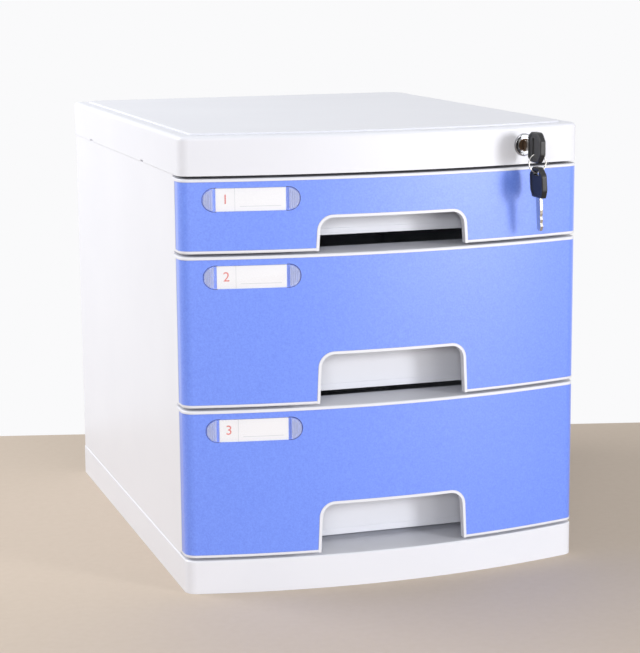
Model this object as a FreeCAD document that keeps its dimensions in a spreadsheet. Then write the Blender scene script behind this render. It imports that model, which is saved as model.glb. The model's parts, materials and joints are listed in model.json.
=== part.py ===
import FreeCAD, Part
import math
import os
import re

import Sketcher

# A desk cabinet with three lockable drawers behind bowed fronts.
# Millimetres, +Z up, the fronts face -Y. The origin is the centre of the footprint, on the desk.
# A "setback" is a distance behind the foremost line of the bow; "inset" is measured inwards
# from the outer surface of the cabinet.

SIZES = {
    # outline of the cabinet
    "cabinet_width": 300.0,
    "cabinet_depth": 388.0,
    "bow_depth": 20.0,
    "corner_radius": 9.0,
    "back_corner_radius": 4.0,
    # heights of the stack, from the desk up
    "base_height": 24.3,
    "front_gap": 2.0,
    "deep_front_height": 107.0,
    "shallow_front_height": 52.0,
    "cover_height": 28.7,
    # clearances
    "fit_gap": 0.1,
    "slide_gap": 0.3,
    "side_gap": 1.5,
    "cut_overrun": 5.0,
    "same_place": 0.01,
    # base
    "base_wall": 2.5,
    "base_deck": 2.5,
    "base_rib": 2.0,
    "base_edge_chamfer": 0.8,
    # cover
    "cover_wall": 2.5,
    "cover_top": 2.3,
    "cover_edge_radius": 3.0,
    "cover_rib": 1.6,
    "cover_rib_depth": 8.0,
    "field_rise": 1.2,
    "field_border": 10.0,
    "field_corner": 8.0,
    "field_edge_chamfer": 0.7,
    "notch_length": 8.0,
    "notch_height": 1.2,
    "notch_setback": 132.0,
    "notch_rear_gap": 72.0,
    # side and back panels
    "side_inset": 0.6,
    "side_wall": 2.6,
    "side_setback": 40.5,
    "stile_reach": 5.3,
    "stile_thickness": 2.4,
    "back_inset": 1.6,
    "back_wall": 2.6,
    "back_rib_depth": 5.0,
    "back_rib": 2.0,
    "tab_length": 10.0,
    "tab_thickness": 1.6,
    "tab_height": 7.0,
    "tab_root": 6.0,
    # runners inside the side panels
    "runner_setback": 54.0,
    "runner_rear_gap": 10.0,
    "runner_thickness": 2.2,
    "channel_spare": 2.3,
    "stop_setback": 79.4,
    "stop_length": 6.0,
    "stop_height": 1.6,
    # drawer fronts
    "front_wall": 3.0,
    "return_setback": 39.5,
    "front_edge_chamfer": 0.7,
    "panel_recess": 1.5,
    "panel_thickness": 1.2,
    "rim_width": 2.1,
    "wrap_setback": 33.0,
    "grip_bottom_width": 110.4,
    "grip_top_width": 106.6,
    "grip_corner": 9.5,
    "grip_rim": 2.1,
    "grip_relief": 15.0,
    "deep_grip_height": 35.1,
    "shallow_grip_height": 23.1,
    "jamb_setback": 8.3,
    # label holders
    "label_inset": 48.5,
    "label_length": 67.0,
    "label_height": 16.2,
    "label_drop": 14.5,
    "window_thickness": 1.4,
    "window_proud": 0.5,
    "window_edge_chamfer": 0.4,
    "card_width": 48.0,
    "card_thickness": 0.25,
    "card_gap": 0.2,
    # drawer trays
    "tray_setback": 37.0,
    "tray_rear_gap": 18.0,
    "tray_side_gap": 22.0,
    "tray_wall": 2.0,
    "tray_floor": 2.0,
    "tray_corner": 8.0,
    "deep_tray_lift": 1.4,
    "shallow_tray_lift": 6.0,
    "tray_rim_drop": 4.8,
    "foot_height": 4.8,
    "foot_step": 0.8,
    "flange_width": 6.5,
    "flange_thickness": 2.5,
    "lug_reach": 12.5,
    "lug_height": 6.0,
    "lug_depth": 4.0,
    "lug_setback": 47.0,
    "lug_drop": 17.0,
    # screws that hold a front to its tray
    "boss_inset": 60.0,
    "boss_radius": 3.0,
    "boss_low": 12.0,
    "boss_high_drop": 14.0,
    "screw_radius": 1.3,
    "screw_length": 10.0,
    "screw_head_radius": 2.8,
    "screw_head_height": 1.8,
    # lock
    "lock_inset": 47.7,
    "lock_drop": 14.9,
    "lock_seat_setback": 11.0,
    "lock_flange_radius": 8.0,
    "lock_flange_thickness": 3.0,
    "lock_flange_bevel": 1.0,
    "lock_boss_radius": 10.6,
    "lock_boss_setback": 17.0,
    "barrel_radius": 6.2,
    "barrel_length": 25.0,
    "plug_radius": 4.5,
    "plug_dish": 0.8,
    "plug_tail": 3.0,
    "keyway_width": 2.6,
    "keyway_height": 7.4,
    "keyway_depth": 20.0,
    "nut_radius": 10.0,
    "nut_thickness": 3.0,
    "cam_thickness": 2.0,
    "cam_hub_radius": 5.5,
    "cam_throw": 8.0,
    "cam_pin_radius": 2.0,
    "cam_pin_length": 5.5,
    "cam_rest_angle": 45.0,
    "cam_screw_head_radius": 3.0,
    "cam_screw_head_height": 1.5,
    "cam_screw_radius": 1.5,
    "cam_screw_length": 6.0,
    # lock bar behind the right side of the fronts
    "bar_setback": 44.0,
    "bar_thickness": 2.0,
    "bar_width": 11.4,
    "bar_spine": 4.6,
    "bar_edge_gap": 0.4,
    "bar_notch_height": 8.0,
    "bar_tail": 12.0,
    "bar_arm_height": 10.5,
    "bar_slot_gap": 0.5,
    "bar_slot_end_gap": 0.7,
    "bar_corner": 1.5,
    # keys
    "key_stand_off": 10.0,
    "key_head_length": 21.8,
    "key_head_height": 21.5,
    "key_head_thickness": 4.2,
    "key_head_corner": 5.0,
    "key_head_neck": 16.0,
    "key_head_crown": 10.0,
    "key_head_shoulder": 5.0,
    "key_head_chamfer": 0.6,
    "key_head_border": 2.0,
    "key_head_sink": 0.4,
    "key_slot_width": 3.0,
    "key_slot_length": 13.0,
    "key_slot_setback": 8.7,
    "spare_slot_web": 2.8,
    "spare_slot_length": 9.0,
    "blade_height": 6.8,
    "blade_thickness": 2.0,
    "blade_length": 24.0,
    "blade_tang": 5.0,
    "blade_step": 9.0,
    "blade_step_drop": 1.4,
    "blade_bit": 1.1,
    "ring_radius": 6.5,
    "ring_wire_radius": 0.55,
    "ring_shift": 1.7,
    "spare_shift": 2.2,
    "spare_tilt": 3.2,
}

FRONT = "(-cabinet_depth / 2)"
BACK = "(cabinet_depth / 2)"
BOW_RADIUS = "((cabinet_width^2 / 4 + bow_depth^2) / (2 * bow_depth))"
BOW_CENTRE = f"({BOW_RADIUS} - cabinet_depth / 2)"
COVER_LEVEL = "(base_height + 4 * front_gap + 2 * deep_front_height + shallow_front_height)"
COVER_TOP = f"({COVER_LEVEL} + cover_height)"
SIDE_INNER = "(cabinet_width / 2 - side_inset - side_wall)"
LOCK_LEVEL = f"({COVER_TOP} - lock_drop)"
LOCK_X = "(cabinet_width / 2 - lock_inset)"
LABEL_X = "(cabinet_width / 2 - label_inset)"
BOSS_X = "(cabinet_width / 2 - boss_inset)"
TRAY_HALF = "(cabinet_width / 2 - tray_side_gap)"
TRAY_LENGTH = "(cabinet_depth - tray_setback - tray_rear_gap)"
RUNNER_LENGTH = "(cabinet_depth - runner_setback - runner_rear_gap)"
BASE_RIB_SHARES = (-0.36, -0.18, 0, 0.18, 0.36)
COVER_RIB_SHARES = (-0.26, 0, 0.26)
SPINE_SHARES = (-0.24, 0, 0.24)
BIT_SHARES = (0.48, 0.56, 0.66, 0.76, 0.86)
LOCK_FACE = "(lock_seat_setback - lock_flange_thickness - cabinet_depth / 2)"

DRAWERS = {
    "bottom": ("(base_height + front_gap)", "deep_front_height", "deep_grip_height", "deep_tray_lift"),
    "middle": (
        "(base_height + 2 * front_gap + deep_front_height)",
        "deep_front_height", "deep_grip_height", "deep_tray_lift",
    ),
    "top": (
        "(base_height + 3 * front_gap + 2 * deep_front_height)",
        "shallow_front_height", "shallow_grip_height", "shallow_tray_lift",
    ),
}

doc = FreeCAD.newDocument("desk_drawer_cabinet")
sheet = doc.addObject("Spreadsheet::Sheet", "sizes")
for row, (alias, number) in enumerate(SIZES.items(), start=1):
    sheet.set(f"A{row}", alias)
    sheet.set(f"B{row}", str(number))
    sheet.setAlias(f"B{row}", alias)
doc.recompute()

nodes = []


def value(formula):
    return float(sheet.evalExpression(formula))


def same(first, second):
    return abs(first - second) < value("same_place")


def bind(thing, path, formula):
    """Ties a property to a formula of the sheet's names."""
    thing.setExpression(path, re.sub(r"\b[a-z]+(?:_[a-z]+)+\b", r"sizes.\g<0>", formula))


def setback(distance):
    return f"({distance} - cabinet_depth / 2)"


def new_body(name, level="0", x="0", y="0"):
    body = doc.addObject("PartDesign::Body", name)
    body.Label = name
    for axis, formula in zip("xyz", (x, y, level)):
        if formula != "0":
            bind(body, f"Placement.Base.{axis}", formula)
    nodes.append(body)
    return body


def new_sketch(body, name, plane, offset="0"):
    """A sketch on one of the body's own planes; offset runs along +Z, -Y or +X."""
    sketch = body.newObject("Sketcher::SketchObject", f"{body.Name}_{name}")
    support = next(f for f in body.Origin.OriginFeatures if f.Role == plane)
    sketch.AttachmentSupport = [(support, "")]
    sketch.MapMode = "FlatFace"
    if offset != "0":
        bind(sketch, "AttachmentOffset.Base.z", offset)
    return sketch


def size(sketch, kind, *refs, formula):
    number = value(formula)
    index = sketch.addConstraint(Sketcher.Constraint(kind, *refs, number))
    bind(sketch, f"Constraints[{index}]", formula)


def place(sketch, geometry, vertex, x, y):
    """Holds a point of the sketch at formulas for its two coordinates."""
    for kind, formula, axis in (("DistanceX", x, -2), ("DistanceY", y, -1)):
        if formula == "0":
            sketch.addConstraint(Sketcher.Constraint("PointOnObject", geometry, vertex, axis))
        else:
            size(sketch, kind, -1, 1, geometry, vertex, formula=formula)


def vector(x, y):
    return FreeCAD.Vector(x, y, 0)


def arc(sketch, centre, radius, start, end):
    circle_of_arc = Part.Circle(vector(*centre), FreeCAD.Vector(0, 0, 1), radius)
    return sketch.addGeometry(Part.ArcOfCircle(circle_of_arc, start, end))


def line(sketch, start, end):
    return sketch.addGeometry(Part.LineSegment(vector(*start), vector(*end)))


def tangent(sketch, first, first_end, second, second_end):
    sketch.addConstraint(Sketcher.Constraint("Tangent", first, first_end, second, second_end))


def polygon(sketch, corners):
    """A closed outline; each corner is (x, y) or (x, y, radius), all formulas."""
    points = [(value(c[0]), value(c[1])) for c in corners]
    count = len(corners)
    ends, arcs = [], {}
    for i, corner in enumerate(corners):
        here, before, after = points[i], points[i - 1], points[(i + 1) % count]
        if len(corner) == 2:
            ends.append((here, here))
            continue
        radius = value(corner[2])
        u = ((before[0] - here[0]), (before[1] - here[1]))
        v = ((after[0] - here[0]), (after[1] - here[1]))
        u = (u[0] / math.hypot(*u), u[1] / math.hypot(*u))
        v = (v[0] / math.hypot(*v), v[1] / math.hypot(*v))
        half = math.acos(u[0] * v[0] + u[1] * v[1]) / 2
        reach = radius / math.tan(half)
        first = (here[0] + u[0] * reach, here[1] + u[1] * reach)
        second = (here[0] + v[0] * reach, here[1] + v[1] * reach)
        middle = (u[0] + v[0], u[1] + v[1])
        away = radius / math.sin(half) / math.hypot(*middle)
        centre = (here[0] + middle[0] * away, here[1] + middle[1] * away)
        turns_left = u[0] * v[1] - u[1] * v[0] < 0
        a, b = (first, second) if turns_left else (second, first)
        angles = [math.atan2(p[1] - centre[1], p[0] - centre[0]) for p in (a, b)]
        arcs[i] = (arc(sketch, centre, radius, *angles), turns_left)
        ends.append((first, second))
    lines = [line(sketch, ends[i][1], ends[(i + 1) % count][0]) for i in range(count)]
    for i, corner in enumerate(corners):
        arriving, leaving = lines[i - 1], lines[i]
        if i not in arcs:
            sketch.addConstraint(Sketcher.Constraint("Coincident", arriving, 2, leaving, 1))
            place(sketch, leaving, 1, corner[0], corner[1])
            continue
        index, turns_left = arcs[i]
        tangent(sketch, arriving, 2, index, 1 if turns_left else 2)
        tangent(sketch, leaving, 1, index, 2 if turns_left else 1)
        size(sketch, "Radius", index, formula=corner[2])
        point = sketch.addGeometry(Part.Point(vector(*points[i])), True)
        for edge in (arriving, leaving):
            sketch.addConstraint(Sketcher.Constraint("PointOnObject", point, 1, edge))
        place(sketch, point, 1, corner[0], corner[1])


def rectangle(sketch, x_low, x_high, y_low, y_high, radius=None):
    corners = [(x_low, y_low), (x_high, y_low), (x_high, y_high), (x_low, y_high)]
    polygon(sketch, [c + ((radius,) if radius else ()) for c in corners])


def circle(sketch, x, y, radius):
    shape = Part.Circle(vector(value(x), value(y)), FreeCAD.Vector(0, 0, 1), value(radius))
    index = sketch.addGeometry(shape)
    size(sketch, "Radius", index, formula=radius)
    place(sketch, index, 3, x, y)


def pill(sketch, x, y, length, height):
    """A slot outline along the sketch's first axis, with half-round ends."""
    radius, reach = f"({height} / 2)", f"({length} - {height}) / 2"
    cx, cy, r, d = value(x), value(y), value(radius), value(reach)
    right = arc(sketch, (cx + d, cy), r, -math.pi / 2, math.pi / 2)
    top = line(sketch, (cx + d, cy + r), (cx - d, cy + r))
    left = arc(sketch, (cx - d, cy), r, math.pi / 2, -math.pi / 2)
    low = line(sketch, (cx - d, cy - r), (cx + d, cy - r))
    tangent(sketch, right, 2, top, 1)
    tangent(sketch, top, 2, left, 1)
    tangent(sketch, left, 2, low, 1)
    tangent(sketch, low, 2, right, 1)
    size(sketch, "Radius", right, formula=radius)
    sketch.addConstraint(Sketcher.Constraint("Equal", right, left))
    place(sketch, right, 3, f"{x} + {reach}", y)
    place(sketch, left, 3, f"{x} - {reach}", y)


def bow_run(sketch, inset, corner, end):
    """Side, corner, bow, corner, side: the cabinet's front line, drawn this far inside it."""
    half, radius, round_ = (
        value(f"cabinet_width / 2 - {inset}"), value(f"{BOW_RADIUS} - {inset}"), value(corner))
    bow_y, end_y = value(BOW_CENTRE), value(end)
    cx = half - round_
    cy = bow_y - math.sqrt((radius - round_) ** 2 - cx ** 2)
    swing = math.atan2(cx, bow_y - cy)
    left_side = line(sketch, (-half, end_y), (-half, cy))
    left = arc(sketch, (-cx, cy), round_, -math.pi, -math.pi / 2 - swing)
    bow = arc(sketch, (0, bow_y), radius, -math.pi / 2 - swing, -math.pi / 2 + swing)
    right = arc(sketch, (cx, cy), round_, -math.pi / 2 + swing, 0)
    right_side = line(sketch, (half, cy), (half, end_y))
    tangent(sketch, left_side, 2, left, 1)
    tangent(sketch, left, 2, bow, 1)
    tangent(sketch, bow, 2, right, 1)
    tangent(sketch, right, 2, right_side, 1)
    size(sketch, "Radius", bow, formula=f"{BOW_RADIUS} - {inset}")
    size(sketch, "Radius", left, formula=corner)
    size(sketch, "Radius", right, formula=corner)
    place(sketch, bow, 3, "0", BOW_CENTRE)
    for side, vertex, sign in ((left_side, 1, "-"), (right_side, 2, "")):
        sketch.addConstraint(Sketcher.Constraint("Vertical", side))
        place(sketch, side, vertex, f"{sign}(cabinet_width / 2 - {inset})", end)
    return left_side, right_side


def bowed_outline(sketch, inset, corner, back, back_corner=None):
    """The cabinet's plan, drawn this far inside it, closed by a straight back."""
    half, back_y = value(f"cabinet_width / 2 - {inset}"), value(back)
    if not back_corner:
        left, right = bow_run(sketch, inset, corner, back)
        closing = line(sketch, (half, back_y), (-half, back_y))
        sketch.addConstraint(Sketcher.Constraint("Coincident", right, 2, closing, 1))
        sketch.addConstraint(Sketcher.Constraint("Coincident", closing, 2, left, 1))
        return
    r = value(back_corner)
    left, right = bow_run(sketch, inset, corner, f"{back} - {back_corner}")
    right_arc = arc(sketch, (half - r, back_y - r), r, 0, math.pi / 2)
    closing = line(sketch, (half - r, back_y), (-half + r, back_y))
    left_arc = arc(sketch, (-half + r, back_y - r), r, math.pi / 2, math.pi)
    tangent(sketch, right, 2, right_arc, 1)
    tangent(sketch, right_arc, 2, closing, 1)
    tangent(sketch, closing, 2, left_arc, 1)
    tangent(sketch, left_arc, 2, left, 1)
    size(sketch, "Radius", right_arc, formula=back_corner)


def bowed_strip(sketch, outer, inner, end):
    """A band that follows the front line between two insets and ends on both sides."""
    first = bow_run(sketch, outer, f"corner_radius - {outer}", end)
    second = bow_run(sketch, inner, f"corner_radius - {inner}", end)
    end_y = value(end)
    outer_half, inner_half = (value(f"cabinet_width / 2 - {inset}") for inset in (outer, inner))
    for sign, one, two, vertex in ((-1, first[0], second[0], 1), (1, first[1], second[1], 2)):
        cap = line(sketch, (sign * outer_half, end_y), (sign * inner_half, end_y))
        sketch.addConstraint(Sketcher.Constraint("Coincident", cap, 1, one, vertex))
        sketch.addConstraint(Sketcher.Constraint("Coincident", cap, 2, two, vertex))


def bow_sector(sketch, outer, inner, x_low, x_high):
    """A piece of that band between two planes across it."""
    low, high, bow_y = value(x_low), value(x_high), value(BOW_CENTRE)
    ends = []
    for inset in (outer, inner):
        radius = value(f"{BOW_RADIUS} - {inset}")
        a, b = (math.asin(x / radius) - math.pi / 2 for x in (low, high))
        index = arc(sketch, (0, bow_y), radius, a, b)
        size(sketch, "Radius", index, formula=f"{BOW_RADIUS} - {inset}")
        place(sketch, index, 3, "0", BOW_CENTRE)
        ends.append((index, [(x, bow_y - math.sqrt(radius ** 2 - x ** 2)) for x in (low, high)]))
    (outer_arc, outer_ends), (inner_arc, inner_ends) = ends
    for vertex, formula, start, stop in zip((1, 2), (x_low, x_high), outer_ends, inner_ends):
        cap = line(sketch, start, stop)
        sketch.addConstraint(Sketcher.Constraint("Coincident", cap, 1, outer_arc, vertex))
        sketch.addConstraint(Sketcher.Constraint("Coincident", cap, 2, inner_arc, vertex))
        sketch.addConstraint(Sketcher.Constraint("Vertical", cap))
        size(sketch, "DistanceX", -1, 1, cap, 1, formula=formula)


def pad(body, sketch, length, reverse=False, both=False):
    feature = body.newObject("PartDesign::Pad", sketch.Name + "_pad")
    feature.Profile = sketch
    feature.Reversed = reverse
    feature.Midplane = both
    bind(feature, "Length", length)
    sketch.Visibility = False
    return feature


def pocket(body, sketch, length=None, reverse=False, both=False):
    """Cuts towards -Z, +Y or -X of the sketch's plane, or right through both ways."""
    feature = body.newObject("PartDesign::Pocket", sketch.Name + "_cut")
    feature.Profile = sketch
    if length is None:
        feature.Type = "ThroughAll"
        feature.Midplane = True
    else:
        feature.Reversed = reverse
        feature.Midplane = both
        bind(feature, "Length", length)
    return feature


def round_edges(body, name, radius, keep, kind="Fillet"):
    """Rounds or chamfers the edges of the body so far that keep(edge) picks."""
    doc.recompute()
    base = body.Tip
    names = [f"Edge{i}" for i, edge in enumerate(base.Shape.Edges, start=1) if keep(edge)]
    feature = body.newObject(f"PartDesign::{kind}", f"{body.Name}_{name}")
    feature.Base = (base, names)
    bind(feature, "Radius" if kind == "Fillet" else "Size", radius)
    return feature


def turned(body, name, profile):
    """A turned piece about the body's Y axis; the profile is (y, radius) corners."""
    sketch = new_sketch(body, name, "YZ_Plane")
    polygon(sketch, profile)
    feature = body.newObject("PartDesign::Revolution", sketch.Name + "_turn")
    feature.Profile = sketch
    feature.ReferenceAxis = (sketch, ["H_Axis"])
    feature.Angle = 360
    return feature


def grip_outline(sketch, height, grow):
    """The finger opening: open below, a little wider at the bottom, rounded at the top."""
    low, high = f"(grip_bottom_width / 2 + {grow})", f"(grip_top_width / 2 + {grow})"
    top = f"{height} + {grow}"
    corner = f"grip_corner + {grow}"
    polygon(sketch, [
        (f"-{low}", "-cut_overrun"), (low, "-cut_overrun"), (high, top, corner), (f"-{high}", top, corner)])


def make_base():
    body = new_body("base_plinth")
    outline = new_sketch(body, "outline", "XY_Plane")
    bowed_outline(outline, "0", "corner_radius", BACK, "back_corner_radius")
    pad(body, outline, "base_height")
    hollow = new_sketch(body, "hollow", "XY_Plane")
    bowed_outline(hollow, "base_wall", "(corner_radius - base_wall)", f"{BACK} - base_wall")
    pocket(body, hollow, "base_height - base_deck", reverse=True)
    inner = "(cabinet_width / 2 - base_wall / 2)"
    across = new_sketch(body, "across", "XY_Plane")
    along = new_sketch(body, "along", "XY_Plane")
    for share in BASE_RIB_SHARES:
        middle = f"({share} * cabinet_depth)"
        rectangle(across, f"-{inner}", inner, f"{middle} - base_rib / 2", f"{middle} + base_rib / 2")
    for share in SPINE_SHARES:
        middle = f"({share} * cabinet_width)"
        rectangle(along, f"{middle} - base_rib / 2", f"{middle} + base_rib / 2",
                  f"{FRONT} + bow_depth", f"{BACK} - base_wall / 2")
    pad(body, across, "base_height - base_deck / 2")
    pad(body, along, "base_height - base_deck / 2")
    slots = new_sketch(body, "slots", "XY_Plane", "base_height")
    for middle in tab_places():
        for sign in ("-", ""):
            outer = f"{sign}({SIDE_INNER} + fit_gap)"
            inner_edge = f"{sign}({SIDE_INNER} - tab_thickness - fit_gap)"
            reach = "(tab_length / 2 + fit_gap)"
            rectangle(slots, outer, inner_edge, f"{middle} - {reach}", f"{middle} + {reach}")
    pocket(body, slots, "base_deck + slide_gap")
    top = value("base_height")
    depth = value("side_setback - cabinet_depth / 2")
    round_edges(body, "edge", "base_edge_chamfer", lambda edge: (
        same(edge.BoundBox.ZMin, top) and same(edge.BoundBox.ZMax, top)
        and edge.BoundBox.YMax < depth and edge.Length > value("corner_radius") / 2), "Chamfer")
    return body


def tab_places():
    return [setback("notch_setback"), f"({BACK} - notch_rear_gap)"]


def make_side_panel(name, sign):
    """An upright side wall with its inner stile, tabs and the runners of three drawers."""
    body = new_body(name)
    outer = f"{sign}(cabinet_width / 2 - side_inset)"
    inner = f"{sign}{SIDE_INNER}"
    stile = f"{sign}({SIDE_INNER} - stile_reach)"
    front = setback("side_setback")
    rear = f"({BACK} - back_inset)"
    plan = [(outer, rear, "back_corner_radius / 2"), (outer, front, "stile_thickness / 4"), (stile, front)]
    plan += [(stile, f"{front} + stile_thickness"), (inner, f"{front} + stile_thickness")]
    if not sign:
        # a second rib makes the channel that the lock bar slides in
        low = f"({setback('bar_setback')} + bar_thickness + slide_gap)"
        edge = f"({SIDE_INNER} - bar_edge_gap - bar_spine)"
        plan += [(inner, low), (edge, low), (edge, f"{low} + stile_thickness"),
                 (inner, f"{low} + stile_thickness")]
    plan += [(inner, rear)]
    sketch = new_sketch(body, "plan", "XY_Plane", "base_height")
    polygon(sketch, plan)
    pad(body, sketch, f"{COVER_LEVEL} - base_height")
    wall = f"{sign}({SIDE_INNER} + side_wall / 2)"
    edge = f"{sign}({TRAY_HALF} + side_gap)"
    start, stop = setback("runner_setback"), setback(f"(runner_setback + {RUNNER_LENGTH})")
    nose = setback("stop_setback")
    for drawer, (level, height, *_) in DRAWERS.items():
        rim = f"({level} + {height} - tray_rim_drop)"
        rest = f"({rim} - flange_thickness - slide_gap - runner_thickness)"
        guide = f"({rim} + channel_spare + slide_gap)"
        for part, bottom in (("runner", rest), ("guide", guide)):
            rib = new_sketch(body, f"{drawer}_{part}", "XY_Plane", bottom)
            rectangle(rib, wall, edge, start, stop)
            pad(body, rib, "runner_thickness")
        stop_block = new_sketch(body, f"{drawer}_stop", "XY_Plane", guide)
        rectangle(stop_block, wall, edge, nose, f"{nose} + stop_length")
        pad(body, stop_block, "channel_spare - slide_gap", reverse=True)
    roots = ("top_tabs", f"{COVER_LEVEL} - tab_root", False), ("low_tabs", "base_height + tab_root", True)
    for part, level, reverse in roots:
        tabs = new_sketch(body, part, "XY_Plane", level)
        for middle in tab_places():
            rectangle(tabs, inner, f"{sign}({SIDE_INNER} - tab_thickness)",
                      f"{middle} - tab_length / 2", f"{middle} + tab_length / 2")
        pad(body, tabs, "tab_root + tab_height", reverse=reverse)
    return body


def make_back_panel():
    body = new_body("back_panel")
    half = f"({SIDE_INNER} - fit_gap)"
    rear = f"({BACK} - back_inset)"
    plate = new_sketch(body, "plate", "XY_Plane", "base_height")
    rectangle(plate, f"-{half}", half, f"{rear} - back_wall", rear)
    pad(body, plate, f"{COVER_LEVEL} - base_height")
    for drawer, (level, height, *_) in DRAWERS.items():
        rib = new_sketch(body, f"{drawer}_rib", "XY_Plane", f"{level} + {height} / 2")
        rectangle(rib, f"-({half} - side_wall)", f"({half} - side_wall)",
                  f"{rear} - back_wall - back_rib_depth", f"{rear} - back_wall / 2")
        pad(body, rib, "back_rib")
    return body


def make_cover():
    body = new_body("top_cover")
    outline = new_sketch(body, "outline", "XY_Plane", COVER_LEVEL)
    bowed_outline(outline, "0", "corner_radius", BACK, "back_corner_radius")
    pad(body, outline, "cover_height - field_rise")
    shoulder = value(f"{COVER_TOP} - field_rise")
    round_edges(body, "edge", "cover_edge_radius", lambda edge: same(edge.BoundBox.ZMin, shoulder))
    field = new_sketch(body, "field", "XY_Plane", f"{COVER_TOP} - 2 * field_rise")
    bowed_outline(field, "field_border", "field_corner", f"{BACK} - field_border", "field_corner")
    pad(body, field, "2 * field_rise")
    top = value(COVER_TOP)
    round_edges(body, "field_edge", "field_edge_chamfer",
                lambda edge: same(edge.BoundBox.ZMin, top), "Chamfer")
    hollow = new_sketch(body, "hollow", "XY_Plane", COVER_LEVEL)
    bowed_outline(hollow, "cover_wall", "(corner_radius - cover_wall)", f"{BACK} - cover_wall")
    pocket(body, hollow, "cover_height - field_rise - cover_top", reverse=True)
    ceiling = f"({COVER_TOP} - field_rise - cover_top)"
    inner = "(cabinet_width / 2 - cover_wall / 2)"
    across = new_sketch(body, "across", "XY_Plane", f"{ceiling} - cover_rib_depth")
    along = new_sketch(body, "along", "XY_Plane", f"{ceiling} - cover_rib_depth")
    for share in COVER_RIB_SHARES:
        middle = f"({share} * cabinet_depth)"
        rectangle(across, f"-{inner}", inner, f"{middle} - cover_rib / 2", f"{middle} + cover_rib / 2")
    for share in SPINE_SHARES:
        middle = f"({share} * cabinet_width)"
        rectangle(along, f"{middle} - cover_rib / 2", f"{middle} + cover_rib / 2",
                  f"{FRONT} + bow_depth", f"{BACK} - cover_wall / 2")
    pad(body, across, "cover_rib_depth + cover_top / 2")
    pad(body, along, "cover_rib_depth + cover_top / 2")
    boss = new_sketch(body, "lock_boss", "XZ_Plane", f"-{setback('lock_boss_setback')}")
    circle(boss, LOCK_X, LOCK_LEVEL, "lock_boss_radius")
    pad(body, boss, "lock_boss_setback - lock_seat_setback + cover_wall / 4")
    seat = new_sketch(body, "lock_seat", "XZ_Plane", f"-{setback('lock_seat_setback')}")
    circle(seat, LOCK_X, LOCK_LEVEL, "lock_flange_radius + fit_gap")
    pocket(body, seat, "lock_seat_setback", reverse=True)
    bore = new_sketch(body, "lock_bore", "XZ_Plane", f"-{FRONT}")
    circle(bore, LOCK_X, LOCK_LEVEL, "barrel_radius + fit_gap")
    pocket(body, bore, "lock_boss_setback + cut_overrun")
    notches = new_sketch(body, "notches", "XY_Plane", COVER_LEVEL)
    wide = "(cabinet_width / 2 + cut_overrun)"
    for middle in tab_places():
        rectangle(notches, f"-{wide}", wide, f"{middle} - notch_length / 2", f"{middle} + notch_length / 2")
    pocket(body, notches, "notch_height", reverse=True)
    return body


def make_front_frame(drawer, level, height, grip):
    """White shell of a drawer front: rim, recess, finger opening with its jamb and cut-back floor,
    screw bosses."""
    body = new_body(f"{drawer}_front_frame", level)
    outline = new_sketch(body, "outline", "XY_Plane")
    bowed_outline(outline, "0", "corner_radius", setback("return_setback"))
    pad(body, outline, height)
    behind = value(f"{setback('return_setback')} - same_place")
    round_edges(body, "edge", "front_edge_chamfer", lambda edge: (
        same(edge.BoundBox.ZLength, 0) and edge.BoundBox.YMin < behind
        and edge.BoundBox.XLength > value("front_edge_chamfer")), "Chamfer")
    hollow = new_sketch(body, "hollow", "XY_Plane", "front_wall")
    bowed_outline(hollow, "front_wall", "(corner_radius - front_wall)",
                  setback("(return_setback + cut_overrun)"))
    pocket(body, hollow, f"{height} - 2 * front_wall", reverse=True)
    relief = new_sketch(body, "relief", "XY_Plane")
    half = "(cabinet_width / 2 - front_wall)"
    rectangle(relief, f"-{half}", half, setback("(tray_setback - slide_gap)"),
              setback("(return_setback + cut_overrun)"))
    pocket(body, relief)
    floor = new_sketch(body, "floor", "XY_Plane")
    half = "(grip_bottom_width / 2 + grip_relief)"
    rectangle(floor, f"-{half}", half, setback("jamb_setback"), setback("(return_setback + cut_overrun)"))
    pocket(body, floor, "front_wall", reverse=True)
    recess = new_sketch(body, "recess", "XY_Plane", "rim_width")
    bowed_strip(recess, "(-cut_overrun / 5)", "panel_recess", setback("wrap_setback"))
    pocket(body, recess, f"{height} - 2 * rim_width", reverse=True)
    bosses = new_sketch(body, "bosses", "XZ_Plane", f"-{setback('tray_setback')}")
    for x, z in boss_places(height):
        circle(bosses, x, z, "boss_radius")
    middle = f"({BOW_RADIUS} - (front_wall + panel_recess) / 2)"
    pad(body, bosses, f"{setback('tray_setback')} - {BOW_CENTRE} + sqrt({middle}^2 - {BOSS_X}^2)")
    jamb = new_sketch(body, "jamb", "XZ_Plane", f"-{setback('jamb_setback')}")
    grip_outline(jamb, grip, "grip_rim")
    pad(body, jamb, "jamb_setback + cut_overrun")
    trim = new_sketch(body, "trim", "XY_Plane")
    reach = "(grip_bottom_width / 2 + 2 * grip_rim)"
    bow_sector(trim, "(-3 * cut_overrun)", "0", f"-{reach}", reach)
    pocket(body, trim)
    trim_low = new_sketch(body, "trim_low", "XY_Plane")
    rectangle(trim_low, f"-{reach}", reach, f"{FRONT} - cut_overrun", setback("jamb_setback + cut_overrun"))
    pocket(body, trim_low, "2 * cut_overrun")
    opening = new_sketch(body, "opening", "XZ_Plane")
    grip_outline(opening, grip, "0")
    pocket(body, opening)
    holes = new_sketch(body, "holes", "XZ_Plane", f"-{setback('tray_setback')}")
    for x, z in boss_places(height):
        circle(holes, x, z, "screw_radius + fit_gap")
    pocket(body, holes, "screw_length", reverse=True)
    return body


def boss_places(height):
    levels = ("boss_low", f"({height} - boss_high_drop)")
    return [(x, z) for x in (f"-{BOSS_X}", BOSS_X) for z in levels]


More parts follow.
